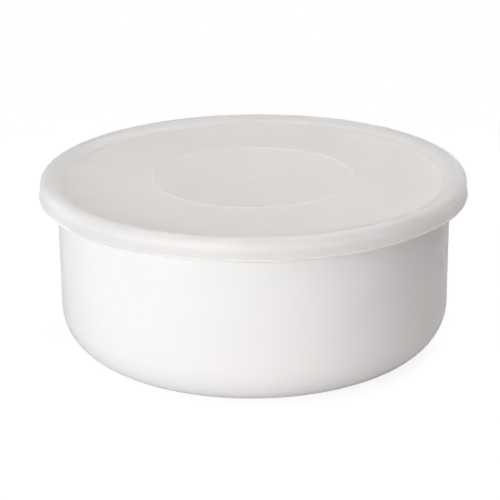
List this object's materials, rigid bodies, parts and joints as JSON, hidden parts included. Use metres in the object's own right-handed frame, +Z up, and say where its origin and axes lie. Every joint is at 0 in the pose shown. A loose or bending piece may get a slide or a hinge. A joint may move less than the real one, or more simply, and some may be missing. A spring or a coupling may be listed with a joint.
{
  "type": "enamel storage container",
  "caption": "Low round enamelled steel container with a rolled rim and a large corner radius, closed by a milky press-on seal lid that lifts off.",
  "frame": {"origin": "middle of the base, on the surface that the foot ring stands on", "axes": "+Z up along the axis of the round vessel and lid; X and Y are equal"},
  "size_m": [0.2, 0.2, 0.0828],
  "materials": {
    "enamel": "glossy white vitreous enamel over steel",
    "lid_plastic": "milky translucent polyethylene, satin"
  },
  "bodies": {
    "container": {"vessel": "enamel"},
    "lid": {"seal_lid": "lid_plastic"}
  },
  "joints": [
    {"name": "lid_lift", "type": "slide", "parent": "container", "child": "lid", "axis": [0, 0, 1], "range_m": [0, 0.12]}
  ]
}
